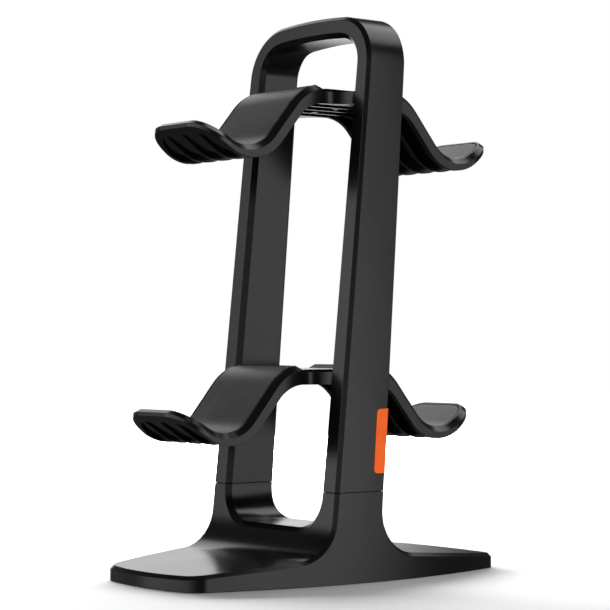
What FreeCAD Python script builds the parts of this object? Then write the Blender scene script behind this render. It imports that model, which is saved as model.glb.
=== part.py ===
"""Two-tier controller stand: a flared base, a leaning arch with a carry handle, and two double-hook cradles.

Millimetres. +Z is up, the front of the stand faces -Y, and the tag is on the +X leg.
The origin is on the floor, under the middle of the whole stand's box.
"""
import FreeCAD, Part
import math
import os

V = FreeCAD.Vector

# Overall sizes
HEIGHT = 290.8                # floor to the top of the handle
BASE_LENGTH = 208.0           # front to back
BASE_WIDTH = 109.0            # across the widest part, at the floor
SIDE_RADIUS = 310.0           # the bow of the base's long sides, seen from above
SIDE_DRAFT_DEG = 0.72         # the outer sides close in a little towards the top
END_RADIUS = 150.0            # the bow of the base's front and back ends
END_CORNER = 13.0             # rounding of the base's four corners, seen from above
EDGE_BEVEL = 1.85             # bevel round the front and back outlines

# Base plate
PLATE_FRONT = 7.6             # top of the plate at its front end, above the floor
PLATE_BACK = 7.2              # and at its back end
RAMP_DEG = 4.6                # the plate rises towards the legs
FLARE_RADIUS = 21.5           # hollow curve from the plate up into the legs
SEAM_Z = 45.6                 # where the arch meets the base
BASE_WALL = 2.8
CAVITY_ROOF = 23.5            # top of the hollow under the base
RIB_THICK = 1.8
RIB_RECESS = 1.2              # the ribs stop this far above the base's rim
RIB_X = 20.0
RIB_Y = (-64.0, -34.0, 34.0, 64.0)

# Feet
FOOT_DIAMETER = 14.0
FOOT_THICK = 2.2
FOOT_PROUD = 0.2              # the base stands this far off the floor
FOOT_BOSS_WALL = 1.6
FOOT_X = 29.0
FOOT_Y = 82.0

# Arch
LEG_SETBACK = -6.2            # middle of the legs at the seam, from the middle of the base
LEAN_DEG = 5.18
LEG_DEPTH_SEAM = 31.4         # front to back
LEG_DEPTH_TOP = 25.6
TOP_CORNER = 26.5             # rounding of the handle's outer corners
CROWN_RADIUS = 320.0          # the handle's top is bowed

# Opening between the legs
LEG_WIDTH = 14.48             # across a leg at the seam, from the opening to the outer side
OPENING_BOTTOM = 27.0
HANDLE_BAR = 11.0             # height of the handle's bar in the middle
OPENING_LOW_CORNER = 17.6
OPENING_HIGH_CORNER = 15.0
OPENING_BEVEL = 2.6

# Leg joint: a tenon under each leg, held by a screw from below
TENON_WIDTH = 8.0
TENON_DEPTH = 18.0
TENON_LENGTH = 17.0
TENON_CORNER = 1.5
TENON_CLEARANCE = 0.15
SEAM_GROOVE = 0.3
SEAM_LAND_WIDTH = 13.2
SEAM_LAND_DEPTH = 27.2
SCREW_DIAMETER = 4.0
SCREW_ENGAGED = 12.0          # length of screw inside the tenon
SCREW_CLEARANCE = 0.2
THREAD_CLEARANCE = 0.02
SCREW_HEAD_DIAMETER = 7.6
SCREW_HEAD_HEIGHT = 2.8
SCREW_SOCKET = 3.0            # across the flats of the hexagon in the head
SCREW_SOCKET_DEPTH = 1.6
BOSS_DIAMETER = 11.5
BOSS_FOOT = 14.0              # underside of the screw bosses, above the floor

# Cradles
LOWER_CREST = 110.0           # height of the lower crest above the floor, its dip left out
HANDLE_ROOM = 25.8            # from the upper crest to the handle
CRADLE_SETBACK = 0.5          # a cradle's middle, behind the middle of the legs at its height
CRADLE_WIDTH = 56.0
CRADLE_REACH = 97.0           # from the middle of a cradle to the tip of a hook
CRADLE_CORNER = 16.0          # rounding of the hooks' tips, seen from above
CRADLE_BEVEL = 2.8            # bevel round the top edge
CREST_HALF = 33.3             # where the lines of the crest and the slope would cross
CREST_RADIUS = 28.0
CREST_THICK = 10.4
CREST_UNDER_RADIUS = 20.0
CREST_DIP = 2.6               # between the pads the crest lies this much lower
DIP_RAMP_DEG = 38.0           # slope of the ends of that dip
DIP_RIM = 0.5                 # from a pad's recess to where the ramp would reach the crest's height
SLOPE_DEG = 50.3
ARM_THICK = 7.5
VALLEY_RADIUS = 18.6
VALLEY_UNDER_RADIUS = 23.8
TIP_DROP = 20.8               # from the crest to the top of a hook's tip
TIP_THICK = 4.8
LIP_DEG = 31.2
LIP_UNDER_DEG = 34.5

# Ribs under the cradles
SKIN = 2.2                    # floor between a pad and the channels below it
RIM_THICK = 3.0
TIP_RIM = 4.4
CRADLE_RIB = 2.0
CRADLE_RIB_PITCH = 13.6
CRADLE_RIBS = 3
CRADLE_PEG = 3.0              # square pegs under the middle of the crest, in the inner channels
CRADLE_PEG_X = 9.2

# Arms that carry a cradle between the legs
ARM_HALF_DEPTH = 11.0         # half the arm's depth where it meets the leg
ARM_DROP = 1.2                # from the foot of the crest's bevel down to the arms' top
TONGUE_DEPTH = 14.0
TONGUE_HEIGHT = 4.0
TONGUE_LENGTH = 4.0
TONGUE_CLEARANCE = 0.1

# Pads
PAD_THICK = 1.6
PAD_INSET = 3.5               # from the cradle's outline to the pad's recess
PAD_GAP = 0.3                 # groove round the pad
PAD_CREST_END = 27.5          # the recess stops here, from the middle of the cradle
PAD_CREST_CORNER = 4.0

# Tag
TAG_LOW = 54.8
TAG_HIGH = 87.5
TAG_ON_SIDE = 8.7             # width on the leg's outer side
TAG_ON_BACK = 7.0             # width on the leg's back
TAG_CORNER = 2.2
TAG_SUNK = 0.7
TAG_PROUD = 0.15

# Values that follow from the sizes above
LEAN = math.tan(math.radians(LEAN_DEG))
RAMP = math.tan(math.radians(RAMP_DEG))
SIDE_DRAFT = math.tan(math.radians(SIDE_DRAFT_DEG))
HALF_LENGTH = BASE_LENGTH / 2
OPENING_HALF = BASE_WIDTH / 2 - SIDE_DRAFT * SEAM_Z - LEG_WIDTH
OPENING_TOP = HEIGHT - HANDLE_BAR
CRADLE_HALF = CRADLE_WIDTH / 2
ARM_LENGTH = OPENING_HALF - CRADLE_HALF
PAST = 20.0                   # how far cutting shapes run past what they cut
LEG_X = OPENING_HALF + LEG_WIDTH / 2
SOCKET_FLOOR = SEAM_Z - TENON_LENGTH - TENON_CLEARANCE


def leg_centre(z):
    """Middle of the leaning legs at a height, from the middle of the base."""
    return LEG_SETBACK + LEAN * (z - SEAM_Z)


def leg_half_depth(z):
    taper = (LEG_DEPTH_SEAM - LEG_DEPTH_TOP) / (HEIGHT - SEAM_Z)
    return (LEG_DEPTH_SEAM - taper * (z - SEAM_Z)) / 2


def leg_front(z):
    return leg_centre(z) - leg_half_depth(z)


def leg_back(z):
    return leg_centre(z) + leg_half_depth(z)


def outer_x(z):
    """Half the width of the outside at a height."""
    return BASE_WIDTH / 2 - SIDE_DRAFT * z


def tier_centre(crest):
    """Middle of a cradle, from the middle of the base."""
    return leg_centre(crest - CREST_THICK / 2) + CRADLE_SETBACK


TIERS = {"lower": LOWER_CREST, "upper": OPENING_TOP - HANDLE_ROOM}
REAR_REACH = tier_centre(TIERS["upper"]) + CRADLE_REACH
MIDDLE_Y = (max(REAR_REACH, HALF_LENGTH) - HALF_LENGTH) / 2


# Outlines with rounded corners

def through(a, b, degrees):
    """A line in a plane, as a point and a direction."""
    return (a, b, math.cos(math.radians(degrees)), math.sin(math.radians(degrees)))


def offset(line, distance):
    """The same line moved to its right by a distance."""
    a, b, da, db = line
    return (a + db * distance, b - da * distance, da, db)


def meet(first, second):
    """The point where two lines cross."""
    a1, b1, p1, q1 = first
    a2, b2, p2, q2 = second
    k = ((a2 - a1) * q2 - (b2 - b1) * p2) / (p1 * q2 - q1 * p2)
    return (a1 + k * p1, b1 + k * q1)


def at(line, a):
    """Height of a line at a distance."""
    return line[1] + (a - line[0]) * line[3] / line[2]


def rounded_face(corners, plane):
    """A flat face with corners (a, b, radius), each rounded by an arc that touches both its sides."""
    spread = {"xy": lambda a, b: V(a, b, 0), "xz": lambda a, b: V(a, 0, b), "yz": lambda a, b: V(0, a, b)}
    place = spread[plane]
    count = len(corners)
    edges = []
    ends = []
    for i, (a, b, radius) in enumerate(corners):
        corner = place(a, b)
        if not radius:
            ends.append((corner, corner))
            continue
        back = (place(*corners[i - 1][:2]) - corner).normalize()
        ahead = (place(*corners[(i + 1) % count][:2]) - corner).normalize()
        half = back.getAngle(ahead) / 2
        reach = radius / math.tan(half)
        inward = (back + ahead).normalize()
        start = corner + back * reach
        end = corner + ahead * reach
        middle = corner + inward * (radius / math.sin(half) - radius)
        edges.append(Part.Arc(start, middle, end).toShape())
        ends.append((start, end))
    for i in range(count):
        begin = ends[i][1]
        finish = ends[(i + 1) % count][0]
        if begin.distanceToPoint(finish) > 1e-6:
            edges.append(Part.LineSegment(begin, finish).toShape())
    wire = Part.Wire(Part.__sortEdges__(edges))
    return Part.Face(wire)


def prism(corners, plane, low, high):
    """A rounded outline made into a solid across its plane, from low to high."""
    face = rounded_face(corners, plane)
    normal = {"xy": V(0, 0, 1), "xz": V(0, 1, 0), "yz": V(1, 0, 0)}[plane]
    face.translate(normal * low)
    return face.extrude(normal * (high - low))


def rounded_box(half_a, half_b, radius):
    """Corners of a rectangle about the middle."""
    return [(-half_a, -half_b, radius), (half_a, -half_b, radius), (half_a, half_b, radius), (-half_a, half_b, radius)]


def block(x, y, z):
    """A box from three ranges."""
    return Part.makeBox(x[1] - x[0], y[1] - y[0], z[1] - z[0], V(x[0], y[0], z[0]))


def mirrored_x(shape):
    return shape.mirror(V(0, 0, 0), V(1, 0, 0))


def fused(shapes):
    return shapes[0].multiFuse(shapes[1:]) if len(shapes) > 1 else shapes[0]


# Edges to bevel

def turn_at(solid, edge):
    """Angle between the two faces that meet at the middle of an edge, in degrees."""
    faces = solid.ancestorsOfType(edge, Part.Face)
    if len(faces) != 2:
        return 0.0
    spot = edge.valueAt((edge.FirstParameter + edge.LastParameter) / 2)
    normals = [face.normalAt(*face.Surface.parameter(spot)) for face in faces]
    return math.degrees(normals[0].getAngle(normals[1]))


def sharp_edges(solid, wanted):
    """Edges that aren't smooth and whose middle point is wanted."""
    found = []
    for edge in solid.Edges:
        spot = edge.valueAt((edge.FirstParameter + edge.LastParameter) / 2)
        if wanted(spot) and turn_at(solid, edge) > 8.0:
            found.append(edge)
    return found


# Frame: the base and the arch, shaped as one body and parted at the seam

def side_cone(side, inset):
    """The drafted bow that shapes one outer side, with its own seam turned away."""
    axis = V(-side * (SIDE_RADIUS - BASE_WIDTH / 2), 0, 0)
    tall = HEIGHT + PAST
    radius = SIDE_RADIUS - inset
    cone = Part.makeCone(radius, radius - SIDE_DRAFT * tall, tall, axis)
    if side > 0:
        cone.rotate(axis, V(0, 0, 1), 180)
    return cone


def footprint(inset):
    """The boat-shaped plan carried up to the full height."""
    solid = side_cone(1, inset).common(side_cone(-1, inset))
    for side in (1, -1):
        centre = V(0, side * (HALF_LENGTH - END_RADIUS), 0)
        solid = solid.common(Part.makeCylinder(END_RADIUS - inset, HEIGHT + PAST, centre))
    corners = [e for e in solid.Edges if abs(e.CenterOfMass.y) > HALF_LENGTH / 2 and e.BoundBox.ZLength > HEIGHT / 2]
    return solid.makeFillet(END_CORNER - inset, corners)


def ramp_line(side, drop):
    """Top of the plate in side view, sinking towards the front or back end."""
    edge = PLATE_FRONT if side < 0 else PLATE_BACK
    return offset(through(side * HALF_LENGTH, edge, -side * RAMP_DEG), drop)


def leg_line(edge, inset):
    """Front or back of a leg in side view, moved into the leg by an inset."""
    low = V(edge(SEAM_Z), SEAM_Z, 0)
    high = V(edge(HEIGHT), HEIGHT, 0)
    lean = math.degrees(math.atan2(high.y - low.y, high.x - low.x))
    return offset(through(low.x, low.y, lean), inset)


def side_profile(inset, top):
    """Side view of the frame: the plate, the hollow flares and the leaning legs up to a height."""
    front_ramp, back_ramp = ramp_line(-1, inset), ramp_line(1, inset)
    front_leg, back_leg = leg_line(leg_front, inset), leg_line(leg_back, -inset)
    level = through(0, top, 0)
    far = HALF_LENGTH + PAST
    flare = FLARE_RADIUS + inset
    return [
        (-far, FOOT_PROUD - (PAST if inset else 0), 0),
        (-far, at(front_ramp, -far), 0),
        (*meet(front_ramp, front_leg), flare),
        (*meet(front_leg, level), 0),
        (*meet(back_leg, level), 0),
        (*meet(back_ramp, back_leg), flare),
        (far, at(back_ramp, far), 0),
        (far, FOOT_PROUD - (PAST if inset else 0), 0),
    ]


def opening_face():
    """Outline of the gap between the legs, with the handle's bow along its top."""
    low = rounded_face([
        (-OPENING_HALF, OPENING_BOTTOM, OPENING_LOW_CORNER),
        (OPENING_HALF, OPENING_BOTTOM, OPENING_LOW_CORNER),
        (OPENING_HALF, HEIGHT + PAST, 0),
        (-OPENING_HALF, HEIGHT + PAST, 0),
    ], "xz")
    tall = low.extrude(V(0, 1, 0)).common(crown(CROWN_RADIUS - HANDLE_BAR, OPENING_TOP, 1.0))
    corners = [e for e in tall.Edges if e.BoundBox.YLength > 0.5 and e.CenterOfMass.z > HEIGHT / 2]
    rounded = tall.makeFillet(OPENING_HIGH_CORNER, corners)
    return [f for f in rounded.Faces if abs(f.CenterOfMass.y) < 1e-6][0]


def crown(radius, top, depth):
    """Everything below a bowed top that runs from front to back."""
    half = BASE_WIDTH
    fall = radius - math.sqrt(radius ** 2 - half ** 2)
    ends = [V(-half, 0, top - fall), V(half, 0, top - fall)]
    bow = Part.Arc(ends[0], V(0, 0, top), ends[1]).toShape()
    floor = [V(half, 0, -PAST), V(-half, 0, -PAST)]
    sides = Part.makePolygon([ends[1], *floor, ends[0]])
    face = Part.Face(Part.Wire([bow, *sides.Edges]))
    return face.extrude(V(0, depth, 0))


def frame_body():
    """Base and arch in one, bevelled along their outlines and round the opening."""
    solid = footprint(0).common(prism(side_profile(0, HEIGHT + PAST), "yz", -BASE_WIDTH, BASE_WIDTH))
    top = crown(CROWN_RADIUS, HEIGHT, 4 * BASE_LENGTH)
    top.translate(V(0, -2 * BASE_LENGTH, 0))
    solid = solid.common(top)
    shoulders = sharp_edges(solid, lambda p: p.z > HEIGHT - TOP_CORNER and abs(p.x) > OPENING_HALF
                            and leg_front(HEIGHT) + 1 < p.y < leg_back(HEIGHT) - 1)
    solid = solid.makeFillet(TOP_CORNER, shoulders)
    outline = sharp_edges(solid, lambda p: p.z > FOOT_PROUD + 0.5)
    solid = solid.makeChamfer(EDGE_BEVEL, outline)
    gap = opening_face()
    cut = gap.copy()
    cut.translate(V(0, -BASE_LENGTH, 0))
    solid = solid.cut(cut.extrude(V(0, 2 * BASE_LENGTH, 0)))
    rim = gap.OuterWire

    def on_opening(p):
        return Part.Vertex(p.x, 0, p.z).distToShape(rim)[0] < 0.01
    return solid.makeChamfer(OPENING_BEVEL, sharp_edges(solid, on_opening))


def leg_place(side):
    """Middle of a leg joint, seen from above."""
    return V(side * LEG_X, LEG_SETBACK, 0)


def tenon(side, clearance, low, high):
    corners = rounded_box(TENON_WIDTH / 2 + clearance, TENON_DEPTH / 2 + clearance, TENON_CORNER + clearance)
    solid = prism(corners, "xy", low, high)
    solid.translate(leg_place(side))
    return solid


def post(side, diameter, low, high):
    """An upright cylinder on a leg joint's axis."""
    return Part.makeCylinder(diameter / 2, high - low, leg_place(side) + V(0, 0, low))


def foot_places():
    return {"front_left": (-FOOT_X, -FOOT_Y), "front_right": (FOOT_X, -FOOT_Y),
            "rear_left": (-FOOT_X, FOOT_Y), "rear_right": (FOOT_X, FOOT_Y)}


def foot_disc(place, diameter, low, high):
    return Part.makeCylinder(diameter / 2, high - low, V(*place, low))


def base_cavity():
    """The hollow under the base, less the ribs, screw bosses and foot seats that stand in it."""
    hollow = footprint(BASE_WALL).common(prism(side_profile(BASE_WALL, HEIGHT + PAST), "yz", -BASE_WIDTH, BASE_WIDTH))
    hollow = hollow.common(block((-BASE_WIDTH, BASE_WIDTH), (-BASE_LENGTH, BASE_LENGTH), (-PAST, CAVITY_ROOF)))
    foot = FOOT_PROUD + RIB_RECESS
    kept = []
    for x in (-RIB_X, RIB_X):
        kept.append(block((x - RIB_THICK / 2, x + RIB_THICK / 2), (-HALF_LENGTH, HALF_LENGTH), (foot, CAVITY_ROOF)))
    for y in RIB_Y:
        kept.append(block((-BASE_WIDTH, BASE_WIDTH), (y - RIB_THICK / 2, y + RIB_THICK / 2), (foot, CAVITY_ROOF)))
    for side in (-1, 1):
        kept.append(post(side, BOSS_DIAMETER, BOSS_FOOT, CAVITY_ROOF + PAST))
    seat = FOOT_DIAMETER + 2 * FOOT_BOSS_WALL
    for place in foot_places().values():
        kept.append(foot_disc(place, seat, FOOT_PROUD, CAVITY_ROOF))
    return hollow.cut(fused(kept))


def make_base(body):
    """Foot plate with its leg stubs, hollow below."""
    solid = body.common(block((-BASE_WIDTH, BASE_WIDTH), (-BASE_LENGTH, BASE_LENGTH), (0, SEAM_Z)))
    solid = solid.cut(base_cavity())
    cuts = []
    for side in (-1, 1):
        cuts.append(tenon(side, TENON_CLEARANCE, SOCKET_FLOOR, SEAM_Z + PAST))
        cuts.append(post(side, SCREW_DIAMETER + 2 * SCREW_CLEARANCE, BOSS_FOOT - PAST, SOCKET_FLOOR + 1))
    for place in foot_places().values():
        cuts.append(foot_disc(place, FOOT_DIAMETER, -PAST, FOOT_THICK))
    return solid.cut(fused(cuts))


def make_upright(body, tag):
    """The arch: two legs and the carry handle, with a tenon under each leg."""
    above = SEAM_Z + SEAM_GROOVE
    solid = body.common(block((-BASE_WIDTH, BASE_WIDTH), (-BASE_LENGTH, BASE_LENGTH), (above, HEIGHT + PAST)))
    lands = []
    cuts = [tag]
    for side in (-1, 1):
        land = prism(rounded_box(SEAM_LAND_WIDTH / 2, SEAM_LAND_DEPTH / 2, TENON_CORNER), "xy", SEAM_Z, above)
        land.translate(leg_place(side))
        lands += [land, tenon(side, 0, SEAM_Z - TENON_LENGTH, SEAM_Z)]
        hole = SCREW_DIAMETER + 2 * THREAD_CLEARANCE
        cuts.append(post(side, hole, SOCKET_FLOOR - 1, SEAM_Z - TENON_LENGTH + SCREW_ENGAGED + 1))
    for crest in TIERS.values():
        cuts.append(placed(tongues(TONGUE_CLEARANCE), crest))
    return solid.multiFuse(lands).cut(fused(cuts)).removeSplitter()


def make_screws():
    """Hexagon-socket screws that pull the tenons into the base."""
    screws = []
    for side in (-1, 1):
        tip = SEAM_Z - TENON_LENGTH + SCREW_ENGAGED
        under_head = BOSS_FOOT - SCREW_HEAD_HEIGHT
        shank = post(side, SCREW_DIAMETER, BOSS_FOOT, tip)
        head = post(side, SCREW_HEAD_DIAMETER, under_head, BOSS_FOOT)
        angles = [math.radians(60 * i) for i in range(6)]
        across = SCREW_SOCKET / math.sqrt(3)
        hexagon = [(across * math.cos(t), across * math.sin(t), 0) for t in angles]
        key = prism(hexagon, "xy", under_head - 1, under_head + SCREW_SOCKET_DEPTH)
        key.translate(leg_place(side))
        screws.append(shank.fuse(head).cut(key).removeSplitter())
    return Part.makeCompound(screws)


# Cradles, made with the top of the crest at height 0 over the origin

def top_chain(sink):
    """Rear half of the cradle's top in side view, from crest to tip, sunk into the cradle by a distance."""
    slope = offset(through(CREST_HALF, 0, -SLOPE_DEG), sink)
    lip = offset(through(CRADLE_REACH, -TIP_DROP, LIP_DEG), sink)
    crest = through(0, -sink, 0)
    end = CRADLE_REACH + PAST
    return [
        (*meet(crest, slope), CREST_RADIUS - sink),
        (*meet(slope, lip), VALLEY_RADIUS + sink),
        (end, at(lip, end), 0),
    ]


def under_chain():
    """Rear half of the cradle's underside in side view, from tip to crest."""
    slope = offset(through(CREST_HALF, 0, -SLOPE_DEG), ARM_THICK)
    lip = through(CRADLE_REACH, -TIP_DROP - TIP_THICK, LIP_UNDER_DEG)
    crest = through(0, -CREST_THICK, 0)
    end = CRADLE_REACH + PAST
    lift = at(lip, CRADLE_REACH)
    return [
        (end, lift, 0),
        (CRADLE_REACH, lift, 0),
        (*meet(slope, lip), VALLEY_UNDER_RADIUS),
        (*meet(crest, slope), CREST_UNDER_RADIUS),
    ]


def both_ways(chain):
    """The front half of a profile, from the tip to the crest, then the rear half."""
    return [(-y, z, r) for y, z, r in reversed(chain)] + chain


def cradle_plan(inset, tip_inset):
    """Outline of a cradle seen from above, drawn in by an inset."""
    corners = rounded_box(CRADLE_HALF - inset, CRADLE_REACH - tip_inset, CRADLE_CORNER - inset)
    depth = 2 * (TIP_DROP + CREST_THICK + ARM_THICK + CRADLE_REACH)
    return prism(corners, "xy", -depth, depth)


def tongues(clearance):
    """Blocks at the ends of the carrying arms that seat in the legs."""
    half_y = TONGUE_DEPTH / 2 + clearance
    middle = -(CRADLE_BEVEL + ARM_DROP + CREST_THICK) / 2
    half_z = TONGUE_HEIGHT / 2 + clearance
    right = block((OPENING_HALF - 1, OPENING_HALF + TONGUE_LENGTH + clearance), (-half_y, half_y),
                  (middle - half_z, middle + half_z))
    return Part.makeCompound([right, mirrored_x(right)])


def carrying_arms():
    """Short arms from the cradle's sides to the legs, with hollow rounded roots."""
    wide = ARM_HALF_DEPTH + ARM_LENGTH
    arcs = []
    for side in (1, -1):
        root = V(CRADLE_HALF, side * wide, 0)
        tip = V(OPENING_HALF, side * ARM_HALF_DEPTH, 0)
        waist = V(OPENING_HALF - ARM_LENGTH * math.cos(math.pi / 4),
                  side * (wide - ARM_LENGTH * math.sin(math.pi / 4)), 0)
        arcs.append((root, waist, tip))
    (r1, w1, t1), (r2, w2, t2) = arcs
    inner = CRADLE_HALF - RIM_THICK
    edges = [Part.Arc(r1, w1, t1).toShape(), Part.makeLine(t1, t2), Part.Arc(t2, w2, r2).toShape(),
             Part.makeLine(r2, V(inner, r2.y, 0)), Part.makeLine(V(inner, r2.y, 0), V(inner, r1.y, 0)),
             Part.makeLine(V(inner, r1.y, 0), r1)]
    face = Part.Face(Part.Wire(edges))
    face.translate(V(0, 0, -CREST_THICK))
    right = face.extrude(V(0, 0, CREST_THICK - CRADLE_BEVEL - ARM_DROP))
    return [right, mirrored_x(right)]


def pad_recess(gap):
    """The rear pad's bed, or the pad itself when drawn in by a gap."""
    half = CRADLE_HALF - PAD_INSET - gap
    near, far = PAD_CREST_END + gap, CRADLE_REACH - PAD_INSET - gap
    tip_corner, crest_corner = CRADLE_CORNER - PAD_INSET - gap, PAD_CREST_CORNER - gap
    plan = [(-half, near, crest_corner), (half, near, crest_corner), (half, far, tip_corner), (-half, far, tip_corner)]
    outline = prism(plan, "xy", -2 * CRADLE_REACH, 2 * CRADLE_REACH)
    above = PAST if not gap else 0
    upper = [(y, z + above, r) for y, z, r in top_chain(0)]
    lower = top_chain(PAD_THICK)
    strip = prism(both_ways(lower) + list(reversed(both_ways(upper))), "yz", -CRADLE_HALF, CRADLE_HALF)
    return strip.common(outline)


def channels():
    """Lengthwise hollows under the cradle, between its rims and ribs."""
    roof = both_ways(top_chain(PAD_THICK + SKIN))
    deep = -2 * CRADLE_REACH
    end = CRADLE_REACH + PAST
    space = prism(roof + [(end, deep, 0), (-end, deep, 0)], "yz", -CRADLE_HALF, CRADLE_HALF)
    space = space.common(cradle_plan(RIM_THICK, TIP_RIM))
    ribs = []
    for i in range(CRADLE_RIBS):
        x = (i - (CRADLE_RIBS - 1) / 2) * CRADLE_RIB_PITCH
        ribs.append(block((x - CRADLE_RIB / 2, x + CRADLE_RIB / 2), (-end, end), (deep, PAST)))
    half = CRADLE_PEG / 2
    for x in (-CRADLE_PEG_X, CRADLE_PEG_X):
        ribs.append(block((x - half, x + half), (-half, half), (deep, PAST)))
    return space.cut(fused(ribs))


def crest_dip():
    """What the crest loses between the pads, where it lies lower, with a ramp at each end."""
    wide = CRADLE_HALF + 1
    upper = [(y, z + PAST, r) for y, z, r in both_ways(top_chain(0))]
    strip = prism(both_ways(top_chain(CREST_DIP)) + list(reversed(upper)), "yz", -wide, wide)
    end = PAD_CREST_END - DIP_RIM
    run = 2 * CREST_DIP / math.tan(math.radians(DIP_RAMP_DEG))
    low, high = -2 * CREST_DIP, 2 * CREST_DIP
    ramps = [(-end + run, low, 0), (end - run, low, 0), (end + run, high, 0), (-end - run, high, 0)]
    return strip.common(prism(ramps, "yz", -wide, wide))


def make_cradle():
    """One M-shaped cradle with a hook each way, its carrying arms and tongues."""
    under = both_ways(list(reversed(under_chain())))
    solid = prism(both_ways(top_chain(0)) + list(reversed(under)), "yz", -CRADLE_HALF, CRADLE_HALF)
    solid = solid.common(cradle_plan(0, 0))
    rim = []
    for edge in solid.Edges:
        faces = solid.ancestorsOfType(edge, Part.Face)
        spot = edge.valueAt((edge.FirstParameter + edge.LastParameter) / 2)
        rise = sorted(f.normalAt(*f.Surface.parameter(spot)).z for f in faces)
        if abs(rise[0]) < 0.01 and rise[1] > 0.3:
            rim.append(edge)
    solid = solid.makeChamfer(CRADLE_BEVEL, rim)
    bed = pad_recess(0)
    solid = solid.cut(fused([bed, bed.mirror(V(0, 0, 0), V(0, 1, 0)), channels(), crest_dip()]))
    solid = solid.multiFuse(carrying_arms() + tongues(0).Solids)
    return solid.removeSplitter()


def placed(shape, crest):
    """A cradle's piece carried to its tier, between the legs at that height."""
    moved = shape.copy()
    moved.translate(V(0, tier_centre(crest), crest))
    return moved


# Tag

def leg_corner(grow):
    """The right-hand leg's outer back corner beside the tag, with its faces moved out by a distance."""
    bevel = EDGE_BEVEL + grow * (2 - math.sqrt(2))
    deep = TAG_ON_SIDE + TAG_ON_BACK
    wires = []
    for z in (TAG_LOW - 1, TAG_HIGH + 1):
        x, y = outer_x(z) + grow, leg_back(z) + grow
        points = [V(x - deep, y, z), V(x - bevel, y, z), V(x, y - bevel, z), V(x, y - deep, z), V(x - deep, y - deep, z)]
        wires.append(Part.makePolygon(points + points[:1]))
    return Part.makeLoft(wires, True, True)


def make_tag():
    """Soft tag let into the back edge of the right-hand leg."""
    skin = leg_corner(TAG_PROUD).cut(leg_corner(-TAG_SUNK))
    low_y, high_y = leg_back(TAG_LOW) - TAG_ON_SIDE, leg_back(TAG_HIGH) - TAG_ON_SIDE
    behind = leg_back(TAG_HIGH) + PAST
    window = [(low_y, TAG_LOW, TAG_CORNER), (behind, TAG_LOW, 0), (behind, TAG_HIGH, 0), (high_y, TAG_HIGH, TAG_CORNER)]
    return skin.common(prism(window, "yz", outer_x(TAG_LOW) - TAG_ON_BACK, BASE_WIDTH))


def build():
    """Every piece by name, with the origin under the middle of the stand's box."""
    body = frame_body()
    cradle = make_cradle()
    rear_pad = pad_recess(PAD_GAP)
    front_pad = rear_pad.mirror(V(0, 0, 0), V(0, 1, 0))
    tag = make_tag()
    pieces = {"base": make_base(body), "upright": make_upright(body, tag), "side_tag": tag,
              "leg_screws": make_screws()}
    for tier, crest in TIERS.items():
        pieces[tier + "_cradle"] = placed(cradle, crest)
        pieces[tier + "_front_pad"] = placed(front_pad, crest)
        pieces[tier + "_rear_pad"] = placed(rear_pad, crest)
    for name, place in foot_places().items():
        pieces["foot_" + name] = foot_disc(place, FOOT_DIAMETER, 0, FOOT_THICK)
    for shape in pieces.values():
        shape.translate(V(0, -MIDDLE_Y, 0))
    return pieces


os.makedirs("parts", exist_ok=True)
for node, shape in build().items():
    print(node, len(shape.Solids), "solids", round(shape.Volume, 1), "mm3", "valid" if shape.isValid() else "NOT VALID")
    shape.exportStep("parts/" + node + ".step")
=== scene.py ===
"""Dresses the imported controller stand: finishes, soft pads, tag, feet, floor, light and camera."""

import math
from typing import NamedTuple

import bmesh
import bpy
from bpy.props import FloatProperty, FloatVectorProperty, IntProperty, PointerProperty
from mathutils import Matrix, Vector


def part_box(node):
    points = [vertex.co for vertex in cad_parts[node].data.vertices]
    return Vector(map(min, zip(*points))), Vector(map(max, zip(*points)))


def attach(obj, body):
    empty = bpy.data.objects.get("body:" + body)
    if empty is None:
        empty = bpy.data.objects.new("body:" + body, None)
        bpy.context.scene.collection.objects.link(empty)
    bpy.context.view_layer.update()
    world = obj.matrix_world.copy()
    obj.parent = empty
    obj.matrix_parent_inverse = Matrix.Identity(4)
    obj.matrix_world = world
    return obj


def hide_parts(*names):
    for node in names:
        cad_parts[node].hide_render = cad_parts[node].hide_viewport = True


bl_info = {
    "name": "Controller stand",
    "version": (1, 0, 0),
    "blender": (4, 5, 0),
    "location": "3D View > Sidebar > Stand",
    "description": "Finishes and soft pieces of a two-tier controller stand",
    "category": "Object",
}

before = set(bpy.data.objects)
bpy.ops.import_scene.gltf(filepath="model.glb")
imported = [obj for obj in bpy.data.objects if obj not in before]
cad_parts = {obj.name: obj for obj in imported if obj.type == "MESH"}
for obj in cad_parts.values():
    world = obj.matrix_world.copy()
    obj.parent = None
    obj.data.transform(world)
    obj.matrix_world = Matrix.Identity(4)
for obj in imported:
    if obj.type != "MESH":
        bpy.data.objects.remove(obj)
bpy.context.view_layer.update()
BODY = "root"
MOULDINGS = ("base", "upright", "lower_cradle", "upper_cradle")
PADS = ("lower_front_pad", "lower_rear_pad", "upper_front_pad", "upper_rear_pad")
FEET = ("foot_front_left", "foot_front_right", "foot_rear_left", "foot_rear_right")
WHITE = (1.0, 1.0, 1.0, 1.0)


def length(name, description, default):
    """A size in metres that a user may change."""
    return FloatProperty(name=name, description=description, default=default, min=0.0, unit="LENGTH",
                         precision=5)


def angle(name, description, degrees):
    """An angle that a user may change, given in degrees."""
    return FloatProperty(name=name, description=description, default=math.radians(degrees),
                         subtype="ANGLE")


def colour(name, description, default):
    """A linear colour that a user may change."""
    return FloatVectorProperty(name=name, description=description, default=default, size=3,
                               min=0.0, max=1.0, subtype="COLOR")


def share(name, description, default):
    """A plain number from 0 to 1 that a user may change."""
    return FloatProperty(name=name, description=description, default=default, min=0.0, max=1.0,
                         subtype="FACTOR")


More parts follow.
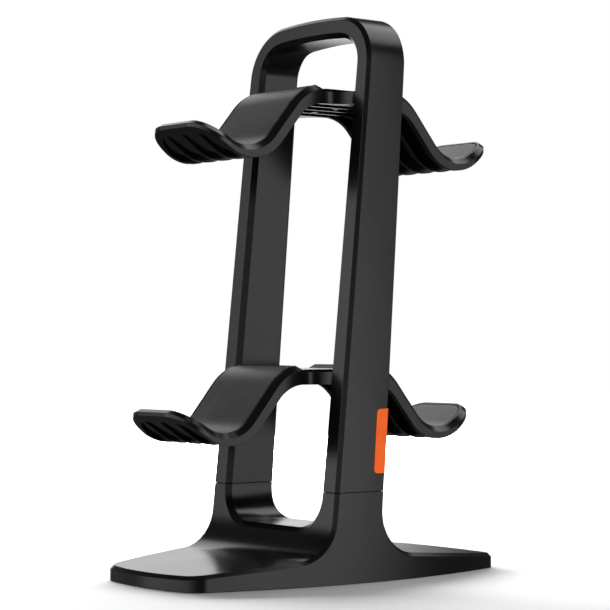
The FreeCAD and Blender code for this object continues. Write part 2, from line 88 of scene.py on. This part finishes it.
class StandPadSizes(bpy.types.PropertyGroup):
    """Line of a hook's top, which the pads follow, and the pads' own sizes."""

    crest_half: length("Crest half", "From the cradle's middle to where crest and slope would cross", 0.0333)
    crest_radius: length("Crest radius", "Rounding over the crest", 0.028)
    slope: angle("Slope", "Fall of the hook's arm", 50.3)
    valley_radius: length("Valley radius", "Hollow rounding in the hook", 0.0186)
    reach: length("Reach", "From the cradle's middle to a hook's tip", 0.097)
    tip_drop: length("Tip drop", "From the crest down to a hook's tip", 0.0208)
    lip: angle("Lip", "Rise of the hook's lip", 31.2)
    half_width: length("Half width", "Half a pad's width", 0.0242)
    near: length("Crest end", "From the cradle's middle to a pad's upper end", 0.0278)
    far: length("Tip end", "From the cradle's middle to a pad's lower end", 0.0932)
    crest_corner: length("Crest corner", "Rounding of a pad's upper corners", 0.0037)
    tip_corner: length("Tip corner", "Rounding of a pad's lower corners", 0.0122)
    thickness: length("Thickness", "Thickness of a pad", 0.0016)
    edge: length("Edge", "Soft rounding along a pad's rim", 0.0007)
    crown: length("Crown", "Swell of a pad's middle over its rim", 0.0002)
    row: length("Row", "Spacing of the mesh rows along a hook", 0.0014)


class StandTagSizes(bpy.types.PropertyGroup):
    """Sizes of the rubber tag, apart from those that come from its node."""

    rim: length("Rim", "Soft rounding along the tag's edges", 0.00022)


class StandFootSizes(bpy.types.PropertyGroup):
    """Sizes of the rubber feet."""

    edge: length("Edge", "Rounding of a foot's lower rim", 0.0005)
    ring_depth: length("Ring depth", "Depth of the grip rings", 0.0003)
    ring_count: IntProperty(name="Rings", description="Grip rings under a foot", default=3, min=1, max=6)
    segments: IntProperty(name="Segments", description="Sides of a foot's rim", default=64, min=16, max=128)


class StandFinish(bpy.types.PropertyGroup):
    """Colours and gloss of the finishes."""

    plastic: colour("Plastic", "Satin black plastic", (0.0042, 0.0042, 0.0044))
    plastic_roughness: share("Plastic roughness", "Roughness of the satin plastic", 0.2)
    silicone: colour("Silicone", "Soft dark grey silicone", (0.082, 0.082, 0.085))
    silicone_roughness: share("Silicone roughness", "Roughness of the silicone", 0.38)
    tag: colour("Tag", "Orange rubber", (0.93, 0.130, 0.004))
    tag_roughness: share("Tag roughness", "Roughness of the orange rubber", 0.42)
    rubber: colour("Rubber", "Black rubber feet", (0.012, 0.012, 0.012))
    rubber_roughness: share("Rubber roughness", "Roughness of the black rubber", 0.72)
    steel: colour("Steel", "Blackened screw steel", (0.09, 0.09, 0.095))
    steel_roughness: share("Steel roughness", "Roughness of the screw steel where it is least worn", 0.28)
    edge_radius: length("Edge radius", "Moulded rounding of sharp edges", 0.00035)


class StandStage(bpy.types.PropertyGroup):
    """Floor and camera."""

    floor: colour("Floor", "Pale studio floor", (0.79, 0.79, 0.79))
    floor_dim: colour("Floor in reflections", "The floor as the stand sees it", (0.12, 0.12, 0.12))
    floor_size: length("Floor size", "Side of the floor", 6.0)
    shadow_reach: length("Shadow reach", "How far from the stand the floor shows its full shadow", 0.34)
    open_reach: length("Open reach", "How far from the stand the floor is plain white", 0.85)
    lens: FloatProperty(name="Lens", description="Focal length for a 36 mm wide sensor", default=125.98,
                        unit="CAMERA")
    eye: FloatVectorProperty(name="Eye", description="Place of the camera", subtype="TRANSLATION",
                             default=(0.8847, -0.6917, 0.1220), precision=4)
    look: FloatVectorProperty(name="Look", description="Direction of the camera", subtype="DIRECTION",
                              default=(-0.7892, 0.6139, 0.0167), precision=4)


class Signal:
    """A node's output that takes part in Python expressions: each operator adds one Math node."""

    def __init__(self, tree, socket):
        self.tree = tree
        self.socket = socket

    def math(self, operation, *values):
        """Adds one Math node."""
        return self.tree.node("ShaderNodeMath", dict(enumerate(values)), operation=operation)

    def __add__(self, other):
        return self.math("ADD", self, other)

    def __sub__(self, other):
        return self.math("SUBTRACT", self, other)

    def __rsub__(self, other):
        return self.math("SUBTRACT", other, self)

    def __mul__(self, other):
        return self.math("MULTIPLY", self, other)

    __radd__ = __add__


class Tree:
    """A node tree under construction, for a shader or for geometry."""

    def __init__(self, nodes, links):
        self.nodes = nodes
        self.links = links

    def node(self, kind, inputs=None, output=0, **settings):
        """Adds a node, sets its settings first and then its sockets, and gives one of its outputs."""
        made = self.nodes.new(kind)
        for name, value in settings.items():
            setattr(made, name, value)
        for key, value in (inputs or {}).items():
            socket = made.inputs[key]
            for single in value if isinstance(value, list) else [value]:
                if isinstance(single, Signal):
                    self.links.new(single.socket, socket)
                else:
                    socket.default_value = single
        return Signal(self, made.outputs[output]) if made.outputs else made


def smooth(value, low, high):
    """Rises softly from 0 at low to 1 at high."""
    inputs = {"Value": value, "From Min": low, "From Max": high}
    return value.tree.node("ShaderNodeMapRange", inputs, interpolation_type="SMOOTHSTEP")


def noise(place, scale, detail=2.0, roughness=0.5):
    """Soft procedural variation from 0 to 1, scale in waves per metre."""
    inputs = {"Vector": place, "Scale": scale, "Detail": detail, "Roughness": roughness}
    return place.tree.node("ShaderNodeTexNoise", inputs, noise_dimensions="3D")


def swing(pattern, amount):
    """A pattern from 0 to 1 as a swing to both sides of zero."""
    return (pattern - 0.5) * amount


def relief(height, strength, depth, **more):
    """Surface direction over a fine relief, its depth in metres."""
    inputs = {"Strength": strength, "Distance": depth, "Height": height, **more}
    return height.tree.node("ShaderNodeBump", inputs)


# Sockets of a colour mix by number, because their labels repeat
MIX_FACTOR = 0
MIX_FIRST = 6
MIX_SECOND = 7
MIX_RESULT = 2


def tint(factor, first, second):
    """A colour between two, by a factor."""
    inputs = {MIX_FACTOR: factor, MIX_FIRST: (*first, 1.0), MIX_SECOND: (*second, 1.0)}
    return factor.tree.node("ShaderNodeMix", inputs, MIX_RESULT, data_type="RGBA")


def scaled(rgb, factor):
    """A colour made lighter or darker."""
    return tuple(min(1.0, c * factor) for c in rgb)


def start_material(name):
    """A new node material, its empty tree, and where a point is on the object."""
    material = bpy.data.materials.new(name)
    material.use_nodes = True
    nodes = material.node_tree.nodes
    nodes.clear()
    tree = Tree(nodes, material.node_tree.links)
    return material, tree, tree.node("ShaderNodeTexCoord", output="Object")


def end_material(tree, **sockets):
    """Closes a material with the main shader. Underscores in socket names stand for spaces."""
    inputs = {name.replace("_", " "): value for name, value in sockets.items()}
    shader = tree.node("ShaderNodeBsdfPrincipled", inputs)
    tree.node("ShaderNodeOutputMaterial", {"Surface": shader})


def satin_plastic(finish):
    """Fine-grained satin black plastic with rounded edges, faint smudges and rubbed edges."""
    material, tree, place = start_material("satin_black_plastic")
    grain = noise(place, scale=5200.0, detail=1.0)
    smudge = noise(place, scale=26.0, detail=4.0, roughness=0.6)
    flow = noise(place, scale=140.0, detail=3.0)
    edge = tree.node("ShaderNodeBevel", {"Radius": finish.edge_radius}, samples=6)
    bump = relief(grain, strength=0.22, depth=0.00003, Normal=edge)
    flat = tree.node("ShaderNodeNewGeometry", output="Normal")
    along = tree.node("ShaderNodeVectorMath", {0: edge, 1: flat}, "Value", operation="DOT_PRODUCT")
    wear = smooth(1 - along, 0.02, 0.25) * smooth(flow, 0.42, 0.62)
    base = finish.plastic
    shade = tint(wear * 0.5 + smudge * 0.3, scaled(base, 0.9), scaled(base, 1.7))
    rough = swing(smudge, 0.10) + swing(grain, 0.06) + finish.plastic_roughness
    end_material(tree, Base_Color=shade, Roughness=rough, Normal=bump, IOR=1.5)
    return material


def soft_silicone(finish):
    """Matte silicone with a fine skin and a faint bloom of dust."""
    material, tree, place = start_material("soft_grey_silicone")
    skin = noise(place, scale=3600.0, roughness=0.6)
    bloom = noise(place, scale=60.0, detail=5.0, roughness=0.65)
    bump = relief(skin, strength=0.35, depth=0.00004)
    base = finish.silicone
    shade = tint(smooth(bloom, 0.35, 0.75), scaled(base, 0.9), scaled(base, 1.25))
    rough = swing(bloom, 0.12) + swing(skin, 0.06) + finish.silicone_roughness
    end_material(tree, Base_Color=shade, Roughness=rough, Normal=bump, IOR=1.45)
    return material


def tag_rubber(finish):
    """Orange rubber with a fine skin and faint clouds of colour."""
    material, tree, place = start_material("orange_tag_rubber")
    skin = noise(place, scale=4200.0)
    cloud = noise(place, scale=190.0, detail=3.0)
    bump = relief(skin, strength=0.3, depth=0.00003)
    base = finish.tag
    shade = tint(smooth(cloud, 0.3, 0.7), scaled(base, 0.94), scaled(base, 1.05))
    rough = swing(skin, 0.08) + swing(cloud, 0.06) + finish.tag_roughness
    end_material(tree, Base_Color=shade, Roughness=rough, Normal=bump, IOR=1.45)
    return material


def foot_rubber(finish):
    """Dull black rubber with a dusty skin."""
    material, tree, place = start_material("black_foot_rubber")
    skin = noise(place, scale=2600.0, detail=3.0)
    dust = noise(place, scale=240.0, detail=4.0)
    bump = relief(skin, strength=0.4, depth=0.00005)
    base = finish.rubber
    shade = tint(smooth(dust, 0.4, 0.8), base, scaled(base, 2.2))
    rough = swing(dust, 0.2) + finish.rubber_roughness
    end_material(tree, Base_Color=shade, Roughness=rough, Normal=bump, IOR=1.5)
    return material


def blackened_steel(finish):
    """Blackened screw steel with turning marks and worn spots."""
    material, tree, place = start_material("blackened_steel")
    marks = {"Vector": place, "Scale": 900.0, "Distortion": 1.5, "Detail": 2.0}
    turned = tree.node("ShaderNodeTexWave", marks, wave_type="RINGS", rings_direction="Z")
    worn = noise(place, scale=420.0, detail=4.0)
    bump = relief(turned, strength=0.2, depth=0.00002)
    base = finish.steel
    shade = tint(smooth(worn, 0.5, 0.75), base, scaled(base, 2.4))
    rough = worn * 0.2 + finish.steel_roughness
    end_material(tree, Base_Color=shade, Roughness=rough, Normal=bump, Metallic=1.0)
    return material


def dress(node, material):
    """Gives a CAD node's object a material in place of its plain one."""
    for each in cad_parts[node].material_slots:
        each.material = material


def new_object(name, mesh):
    """Puts a finished mesh into the scene, at the origin."""
    made = bpy.data.objects.new(name, mesh)
    bpy.context.scene.collection.objects.link(made)
    return made


def mesh_from(bm, name, sharp_degrees):
    """A smooth shaded mesh with its creases kept, its faces turned outwards."""
    bmesh.ops.recalc_face_normals(bm, faces=bm.faces)
    mesh = bpy.data.meshes.new(name)
    bm.to_mesh(mesh)
    bm.free()
    mesh.polygons.foreach_set("use_smooth", [True] * len(mesh.polygons))
    mesh.set_sharp_from_angle(angle=math.radians(sharp_degrees))
    return mesh


def keep_result(source, modifier):
    """Turns what a modifier makes of an object into the object's own plain mesh."""
    bpy.context.view_layer.update()
    done = source.evaluated_get(bpy.context.evaluated_depsgraph_get())
    result = bpy.data.meshes.new_from_object(done)
    if not result.polygons:
        raise RuntimeError(source.name + " came out empty")
    source.modifiers.remove(modifier)
    source.data = result
    result.name = source.name


def hook_top(y, s):
    """Height and steepness of a hook's top at a distance from the cradle's middle."""
    fall, rise = math.tan(s.slope), math.tan(s.lip)
    crest_run = s.crest_radius * math.tan(s.slope / 2)
    valley_run = s.valley_radius * math.tan((s.slope + s.lip) / 2)
    lip_start = -s.tip_drop - rise * s.reach
    meet_y = (fall * s.crest_half - lip_start) / (fall + rise)
    meet_z = lip_start + rise * meet_y
    crest_from = s.crest_half - crest_run
    crest_to = s.crest_half + crest_run * math.cos(s.slope)
    valley_from = meet_y - valley_run * math.cos(s.slope)
    valley_to = meet_y + valley_run * math.cos(s.lip)
    if y <= crest_from:
        return 0.0, 0.0
    if y <= crest_to:
        turn = math.asin((y - crest_from) / s.crest_radius)
        return s.crest_radius * (math.cos(turn) - 1), -turn
    if y <= valley_from:
        return -fall * (y - s.crest_half), -s.slope
    if y <= valley_to:
        bottom_y = valley_from + s.valley_radius * math.sin(s.slope)
        bottom_z = meet_z + valley_run * math.sin(s.slope) + s.valley_radius * math.cos(s.slope)
        turn = math.asin((y - bottom_y) / s.valley_radius)
        return bottom_z - s.valley_radius * math.cos(turn), turn
    return lip_start + rise * y, s.lip


# A pad's mesh: columns over its middle, rows round each corner, and columns over its rim as parts of the edge
PAD_COLUMNS = 14
CORNER_ROWS = 12
RIM_COLUMNS = (0.0, 0.08, 0.22, 0.42, 0.68, 1.0, 1.6)


def pad_rows(s):
    """Distances along the hook for the mesh rows, closer together in the rounded ends."""
    turns = [math.pi / 2 * i / CORNER_ROWS for i in range(CORNER_ROWS + 1)]
    low, high = s.near + s.crest_corner, s.far - s.tip_corner
    count = max(4, round((high - low) / s.row))
    crest_end = [s.near + s.crest_corner * (1 - math.cos(turn)) for turn in turns[:-1]]
    between = [low + (high - low) * i / count for i in range(count)]
    tip_end = [high + s.tip_corner * math.sin(turn) for turn in turns]
    return crest_end + between + tip_end


def pad_half_width(y, s):
    """Half a pad's width at a distance along the hook."""
    for end, corner, sign in ((s.near, s.crest_corner, 1), (s.far, s.tip_corner, -1)):
        inside = (y - end) * sign
        if inside < corner:
            out = corner - max(inside, 0.0)
            return s.half_width - corner + math.sqrt(max(corner ** 2 - out ** 2, 0.0))
    return s.half_width


def rim_distance(x, y, s):
    """How far inside a pad's outline a point lies."""
    middle, half = (s.near + s.far) / 2, (s.far - s.near) / 2
    corner = s.crest_corner if y < middle else s.tip_corner
    qx = abs(x) - s.half_width + corner
    qy = abs(y - middle) - half + corner
    outside = math.hypot(max(qx, 0.0), max(qy, 0.0)) + min(max(qx, qy), 0.0)
    return max(corner - outside, 0.0)


def pad_columns(y, s):
    """Places across a pad for the vertices of one mesh row, closer together in the rim."""
    wide = pad_half_width(y, s)
    rim = [s.edge * part for part in RIM_COLUMNS]
    inner = wide - rim[-1]
    middle = [-inner + 2 * inner * i / PAD_COLUMNS for i in range(1, PAD_COLUMNS)]
    return [-wide + d for d in rim] + middle + [wide - d for d in reversed(rim)]


def pad_rise(x, y, s):
    """Height of a pad's top over the hook's line: its soft rim falls away and its middle swells."""
    inside = rim_distance(x, y, s)
    fall = s.edge - math.sqrt(max(s.edge ** 2 - max(s.edge - inside, 0.0) ** 2, 0.0))
    swell = s.crown * (1 - (x / s.half_width) ** 2) * min(inside / s.tip_corner, 1.0)
    return swell - fall


def border(sheet):
    """The vertices round a sheet of rows, in order."""
    left = [row[0] for row in sheet]
    right = [row[-1] for row in reversed(sheet)]
    return left + sheet[-1][1:-1] + right + sheet[0][-2:0:-1]


def pad_mesh(s):
    """One rear pad: a crowned mat with a soft rim, bent along the hook, crest at the origin's height."""
    bm = bmesh.new()
    top, bottom = [], []
    for y in pad_rows(s):
        z, tilt = hook_top(y, s)
        up_y, up_z = -math.sin(tilt), math.cos(tilt)
        upper, lower = [], []
        for x in pad_columns(y, s):
            rise = pad_rise(x, y, s)
            upper.append(bm.verts.new((x, y + up_y * rise, z + up_z * rise)))
            lower.append(bm.verts.new((x, y - up_y * s.thickness, z - up_z * s.thickness)))
        top.append(upper)
        bottom.append(lower)
    for sheet in (top, bottom):
        for a, b in zip(sheet, sheet[1:]):
            for i in range(len(a) - 1):
                bm.faces.new((a[i], a[i + 1], b[i + 1], b[i]))
    above, below = border(top), border(bottom)
    for i in range(len(above)):
        bm.faces.new((above[i - 1], above[i], below[i], below[i - 1]))
    return mesh_from(bm, "pad", sharp_degrees=50)


FOOT_RIM_STEPS = 4


def foot_line(s, radius, height):
    """Half section of a foot as (radius, height), from the middle of its top to that of its underside."""
    line = [(0.0, height), (radius, height), (radius, s.edge)]
    for i in range(1, FOOT_RIM_STEPS + 1):
        turn = math.pi / 2 * i / FOOT_RIM_STEPS
        line.append((radius - s.edge * (1 - math.cos(turn)), s.edge * (1 - math.sin(turn))))
    pitch = (radius - s.edge) / (s.ring_count + 1)
    mouth, floor = pitch / 6, pitch / 12
    for i in range(s.ring_count, 0, -1):
        ring = pitch * i
        line += [(ring + mouth, 0.0), (ring + floor, s.ring_depth)]
        line += [(ring - floor, s.ring_depth), (ring - mouth, 0.0)]
    return line + [(0.0, 0.0)]


def foot_mesh(s, radius, height):
    """One rubber foot: a turned disc with grip rings underneath and a rounded lower rim, standing on 0."""
    bm = bmesh.new()
    turns = [2 * math.pi * i / s.segments for i in range(s.segments)]
    loops = []
    for r, z in foot_line(s, radius, height):
        around = turns if r else turns[:1]
        loops.append([bm.verts.new((r * math.cos(t), r * math.sin(t), z)) for t in around])
    for a, b in zip(loops, loops[1:]):
        for i in range(s.segments):
            j = (i + 1) % s.segments
            corners = [a[i % len(a)], a[j % len(a)], b[j % len(b)], b[i % len(b)]]
            bm.faces.new(list(dict.fromkeys(corners)))
    return mesh_from(bm, "foot", sharp_degrees=35)


def geometry_tree(name, sockets):
    """An empty geometry tree that takes a piece and more inputs, its builder, and its inputs by name."""
    group = bpy.data.node_groups.new(name, "GeometryNodeTree")
    group.interface.new_socket("Piece", in_out="INPUT", socket_type="NodeSocketGeometry")
    for label, kind in sockets.items():
        group.interface.new_socket(label, in_out="INPUT", socket_type=kind)
    group.interface.new_socket("Pieces", in_out="OUTPUT", socket_type="NodeSocketGeometry")
    tree = Tree(group.nodes, group.links)
    given = group.nodes.new("NodeGroupInput")
    inputs = {socket.name: Signal(tree, socket) for socket in given.outputs if socket.name}
    return group, tree, inputs


def close_tree(tree, pieces, finish):
    """Ends a geometry tree with its pieces as one plain mesh in one material."""
    plain = tree.node("GeometryNodeRealizeInstances", {"Geometry": pieces})
    ready = tree.node("GeometryNodeSetMaterial", {"Geometry": plain, "Material": finish})
    tree.node("NodeGroupOutput", {"Pieces": ready})


def baked(name, mesh, group, values):
    """Runs a geometry tree over a mesh and keeps the result as a plain mesh object."""
    source = new_object(name, mesh)
    modifier = source.modifiers.new("layout", "NODES")
    modifier.node_group = group
    for item in group.interface.items_tree:
        if item.in_out == "INPUT" and item.name in values:
            modifier[item.identifier] = values[item.name]
    keep_result(source, modifier)
    return source


def tier_place(tier, s):
    """Middle of a cradle, at the height that its crest would have without the dip between the pads."""
    front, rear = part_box(tier + "_front_pad"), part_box(tier + "_rear_pad")
    return (0.0, (front[0].y + rear[1].y) / 2, rear[1].z - hook_top(s.near, s)[0])


class STAND_OT_mouldings(bpy.types.Operator):
    """Give the base, the upright and the cradles their satin black plastic"""

    bl_idname = "stand.mouldings"
    bl_label = "Finish the mouldings"

    def execute(self, context):
        material = satin_plastic(context.scene.stand_finish)
        for node in MOULDINGS:
            dress(node, material)
        return {"FINISHED"}


class STAND_OT_pads(bpy.types.Operator):
    """Lay a soft silicone pad in each hook of both cradles"""

    bl_idname = "stand.pads"
    bl_label = "Lay the pads"

    def execute(self, context):
        group, tree, given = geometry_tree("pads_in_hooks", {
            "Lower crest": "NodeSocketVector", "Upper crest": "NodeSocketVector",
            "Front turn": "NodeSocketFloat", "Finish": "NodeSocketMaterial"})
        tiers = tree.node("GeometryNodeMeshLine", {
            "Count": 2, "Start Location": given["Lower crest"], "Offset": given["Upper crest"]},
            mode="END_POINTS")
        rear = tree.node("GeometryNodeInstanceOnPoints", {"Points": tiers, "Instance": given["Piece"]})
        turn = tree.node("ShaderNodeCombineXYZ", {"Z": given["Front turn"]})
        front = tree.node("GeometryNodeInstanceOnPoints", {
            "Points": tiers, "Instance": given["Piece"], "Rotation": turn})
        both = tree.node("GeometryNodeJoinGeometry", {"Geometry": [rear, front]})
        close_tree(tree, both, given["Finish"])
        sizes = context.scene.stand_pads
        pads = baked("hook_pads", pad_mesh(sizes), group, {
            "Lower crest": tier_place("lower", sizes), "Upper crest": tier_place("upper", sizes),
            "Front turn": math.pi, "Finish": soft_silicone(context.scene.stand_finish)})
        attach(pads, BODY)
        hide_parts(*PADS)
        return {"FINISHED"}


# The tag's mesh: points this close merge, faces this flat join, edges this sharp get a rim in these steps
TAG_MERGE = 2e-6
TAG_FLAT = math.radians(1)
TAG_SHARP_DEGREES = 40
TAG_RIM_STEPS = 3


class STAND_OT_tag(bpy.types.Operator):
    """Wrap the orange rubber tag round the leg's back edge, with a soft rim"""

    bl_idname = "stand.tag"
    bl_label = "Wrap the tag"

    def execute(self, context):
        bm = bmesh.new()
        bm.from_mesh(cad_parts["side_tag"].data)
        bmesh.ops.remove_doubles(bm, verts=bm.verts, dist=TAG_MERGE)
        bmesh.ops.dissolve_limit(bm, angle_limit=TAG_FLAT, verts=bm.verts, edges=bm.edges)
        tag = new_object("soft_tag", mesh_from(bm, "soft_tag", TAG_SHARP_DEGREES))
        soften = tag.modifiers.new("rim", "BEVEL")
        soften.width = context.scene.stand_tag.rim
        soften.segments = TAG_RIM_STEPS
        soften.limit_method = "ANGLE"
        soften.angle_limit = math.radians(TAG_SHARP_DEGREES)
        keep_result(tag, soften)
        tag.data.materials.append(tag_rubber(context.scene.stand_finish))
        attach(tag, BODY)
        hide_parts("side_tag")
        return {"FINISHED"}


class STAND_OT_feet(bpy.types.Operator):
    """Set four ringed rubber feet into the base"""

    bl_idname = "stand.feet"
    bl_label = "Set the feet"

    def execute(self, context):
        boxes = [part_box(node) for node in FEET]
        low = [min(b[0][i] for b in boxes) for i in range(3)]
        high = [max(b[1][i] for b in boxes) for i in range(3)]
        radius = (boxes[0][1].x - boxes[0][0].x) / 2
        middle = [(a + b) / 2 for a, b in zip(low, high)]
        group, tree, given = geometry_tree("feet_under_base", {
            "Spread across": "NodeSocketFloat", "Spread along": "NodeSocketFloat",
            "Middle": "NodeSocketVector", "Finish": "NodeSocketMaterial"})
        grid = tree.node("GeometryNodeMeshGrid", {
            "Size X": given["Spread across"], "Size Y": given["Spread along"],
            "Vertices X": 2, "Vertices Y": 2})
        places = tree.node("GeometryNodeSetPosition", {"Geometry": grid, "Offset": given["Middle"]})
        feet = tree.node("GeometryNodeInstanceOnPoints", {"Points": places, "Instance": given["Piece"]})
        close_tree(tree, feet, given["Finish"])
        made = baked("rubber_feet", foot_mesh(context.scene.stand_feet, radius, high[2] - low[2]), group, {
            "Spread across": high[0] - low[0] - 2 * radius, "Spread along": high[1] - low[1] - 2 * radius,
            "Middle": (middle[0], middle[1], low[2]), "Finish": foot_rubber(context.scene.stand_finish)})
        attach(made, BODY)
        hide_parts(*FEET)
        return {"FINISHED"}


class STAND_OT_screws(bpy.types.Operator):
    """Give the leg screws their blackened steel"""

    bl_idname = "stand.screws"
    bl_label = "Finish the screws"

    def execute(self, context):
        dress("leg_screws", blackened_steel(context.scene.stand_finish))
        return {"FINISHED"}


def floor_material(stage):
    """Pale matte floor. Away from the stand the camera sees plain white added, so it joins the background."""
    material, tree, place = start_material("pale_floor")
    seen = tree.node("ShaderNodeLightPath", output="Is Camera Ray")
    shade = tint(seen, stage.floor_dim, stage.floor)
    matte = tree.node("ShaderNodeBsdfDiffuse", {"Color": shade})
    away = tree.node("ShaderNodeVectorMath", {0: place}, "Value", operation="LENGTH")
    open_floor = smooth(away, stage.shadow_reach, stage.open_reach)
    white = tree.node("ShaderNodeEmission", {"Color": WHITE, "Strength": seen * open_floor})
    both = tree.node("ShaderNodeAddShader", {0: matte, 1: white})
    tree.node("ShaderNodeOutputMaterial", {"Surface": both})
    return material


class SoftBox(NamedTuple):
    """A soft box of the studio.

    It fades in from start to full and out from still to end, in degrees round from +X, and its foot and
    top are in degrees above the horizon.
    """

    start: float
    full: float
    still: float
    end: float
    foot: float
    top: float
    level: float


BACKDROP = SoftBox(start=136.8, full=142.0, still=162.0, end=177.0, foot=-5.0, top=40.0, level=1.2)
LEFT_GLOW = SoftBox(start=176.0, full=190.0, still=206.0, end=219.5, foot=-14.0, top=12.0, level=0.12)
LEFT_WALL = SoftBox(start=211.0, full=220.0, still=262.0, end=325.0, foot=-3.0, top=12.0, level=1.35)
RIGHT_WALL = SoftBox(start=-12.0, full=2.0, still=25.0, end=60.0, foot=-4.0, top=20.0, level=1.5)
OVERHEAD = SoftBox(start=48.0, full=68.0, still=112.0, end=132.0, foot=42.0, top=62.0, level=1.7)
# Degrees in which each soft box fades out below its foot and above its top, and the level of the room itself
FOOT_FADE = 8.0
TOP_FADE = 20.0
ROOM_LEVEL = 0.06


def soft_box_light(x, y, z, box):
    """Light of one soft box, in the direction x, y, z."""
    middle = math.radians((box.full + box.still) / 2)
    ahead = x * math.cos(middle) + y * math.sin(middle)
    aside = y * math.cos(middle) - x * math.sin(middle)
    turned = ahead.math("ARCTAN2", aside, ahead)
    sides = [math.radians(edge) - middle for edge in (box.start, box.full, box.still, box.end)]
    across = smooth(turned, *sides[:2]) * (1 - smooth(turned, *sides[2:]))
    limits = (box.foot - FOOT_FADE, box.foot, box.top, box.top + TOP_FADE)
    heights = [math.sin(math.radians(limit)) for limit in limits]
    return across * smooth(z, *heights[:2]) * (1 - smooth(z, *heights[2:])) * box.level


def studio_world():
    """A dim room with a white backdrop and soft boxes round the stand, and plain white for the camera."""
    world = bpy.data.worlds.new("studio")
    world.use_nodes = True
    world.node_tree.nodes.clear()
    tree = Tree(world.node_tree.nodes, world.node_tree.links)
    parts = tree.nodes.new("ShaderNodeSeparateXYZ")
    towards = tree.node("ShaderNodeTexCoord", output="Generated")
    tree.links.new(towards.socket, parts.inputs[0])
    x, y, z = (Signal(tree, socket) for socket in parts.outputs)
    boxes = (BACKDROP, LEFT_GLOW, LEFT_WALL, RIGHT_WALL, OVERHEAD)
    lit = sum((soft_box_light(x, y, z, box) for box in boxes), ROOM_LEVEL)
    seen = tree.node("ShaderNodeLightPath", output="Is Camera Ray")
    strength = seen + (1 - seen) * lit
    light = tree.node("ShaderNodeBackground", {"Color": WHITE, "Strength": strength})
    tree.node("ShaderNodeOutputWorld", {"Surface": light})
    bpy.context.scene.world = world


class Lamp(NamedTuple):
    """An area lamp: its place, the height on the stand's axis that it looks at, its sides and its watts."""

    place: tuple
    aim: float
    width: float
    height: float
    watts: float


LAMPS = {
    "back_strip": Lamp(place=(-1.42, 0.60, 0.38), aim=0.02, width=2.3, height=0.44, watts=156.0),
    "right_fill": Lamp(place=(1.25, 0.45, 0.1), aim=0.1, width=0.8, height=0.3, watts=12.4),
    "overhead_soft": Lamp(place=(0.1, 0.1, 1.7), aim=0.1, width=2.2, height=2.2, watts=2.0),
}


def add_lamp(name, lamp):
    """A soft area lamp that casts light and shadow, and stays out of the reflections."""
    light = bpy.data.lights.new(name, "AREA")
    light.shape = "RECTANGLE"
    light.size = lamp.width
    light.size_y = lamp.height
    light.energy = lamp.watts
    made = bpy.data.objects.new(name, light)
    made.location = lamp.place
    towards = Vector((0.0, 0.0, lamp.aim)) - Vector(lamp.place)
    made.rotation_euler = towards.to_track_quat("-Z", "Y").to_euler()
    made.visible_glossy = False
    made.visible_camera = False
    bpy.context.scene.collection.objects.link(made)


def add_floor(stage):
    """Lays the pale floor and keeps it out of the reflections."""
    bm = bmesh.new()
    bmesh.ops.create_grid(bm, x_segments=4, y_segments=4, size=stage.floor_size / 2)
    floor = new_object("studio_floor", mesh_from(bm, "studio_floor", sharp_degrees=30))
    floor.data.materials.append(floor_material(stage))
    floor.visible_glossy = False


def add_camera(stage):
    """Places the camera of the photo's view."""
    camera = bpy.data.cameras.new("camera")
    camera.sensor_width = 36.0
    camera.sensor_fit = "HORIZONTAL"
    camera.lens = stage.lens
    camera.clip_start = 0.01
    made = bpy.data.objects.new("camera", camera)
    turn = Vector(stage.look).to_track_quat("-Z", "Y")
    made.matrix_world = Matrix.LocRotScale(Vector(stage.eye), turn, None)
    bpy.context.scene.collection.objects.link(made)
    bpy.context.scene.camera = made


class STAND_OT_stage(bpy.types.Operator):
    """Lay the pale floor, set the studio light and place the camera"""

    bl_idname = "stand.stage"
    bl_label = "Set the stage"

    def execute(self, context):
        stage = context.scene.stand_stage
        add_floor(stage)
        studio_world()
        for name, lamp in LAMPS.items():
            add_lamp(name, lamp)
        add_camera(stage)
        context.scene.view_settings.view_transform = "Standard"
        return {"FINISHED"}


OPERATORS = (STAND_OT_mouldings, STAND_OT_pads, STAND_OT_tag, STAND_OT_feet, STAND_OT_screws, STAND_OT_stage)
GROUPS = {"stand_pads": StandPadSizes, "stand_tag": StandTagSizes, "stand_feet": StandFootSizes,
          "stand_finish": StandFinish, "stand_stage": StandStage}


class STAND_PT_panel(bpy.types.Panel):
    """Lists the stand's steps and sizes"""

    bl_idname = "STAND_PT_panel"
    bl_label = "Controller stand"
    bl_space_type = "VIEW_3D"
    bl_region_type = "UI"
    bl_category = "Stand"

    def draw(self, context):
        for operator in OPERATORS:
            self.layout.operator(operator.bl_idname)
        for name, group in GROUPS.items():
            box = self.layout.box()
            for field in group.__annotations__:
                box.prop(getattr(context.scene, name), field)


def register():
    """Adds the classes and the stand's settings to Blender."""
    for each in (*GROUPS.values(), *OPERATORS, STAND_PT_panel):
        bpy.utils.register_class(each)
    for name, group in GROUPS.items():
        setattr(bpy.types.Scene, name, PointerProperty(type=group))


def unregister():
    """Takes them out again."""
    for name in GROUPS:
        delattr(bpy.types.Scene, name)
    for each in (STAND_PT_panel, *reversed(OPERATORS), *GROUPS.values()):
        bpy.utils.unregister_class(each)


def main():
    """Runs every step in order."""
    register()
    bpy.ops.stand.mouldings()
    bpy.ops.stand.pads()
    bpy.ops.stand.tag()
    bpy.ops.stand.feet()
    bpy.ops.stand.screws()
    bpy.ops.stand.stage()


if __name__ == "__main__":
    main()
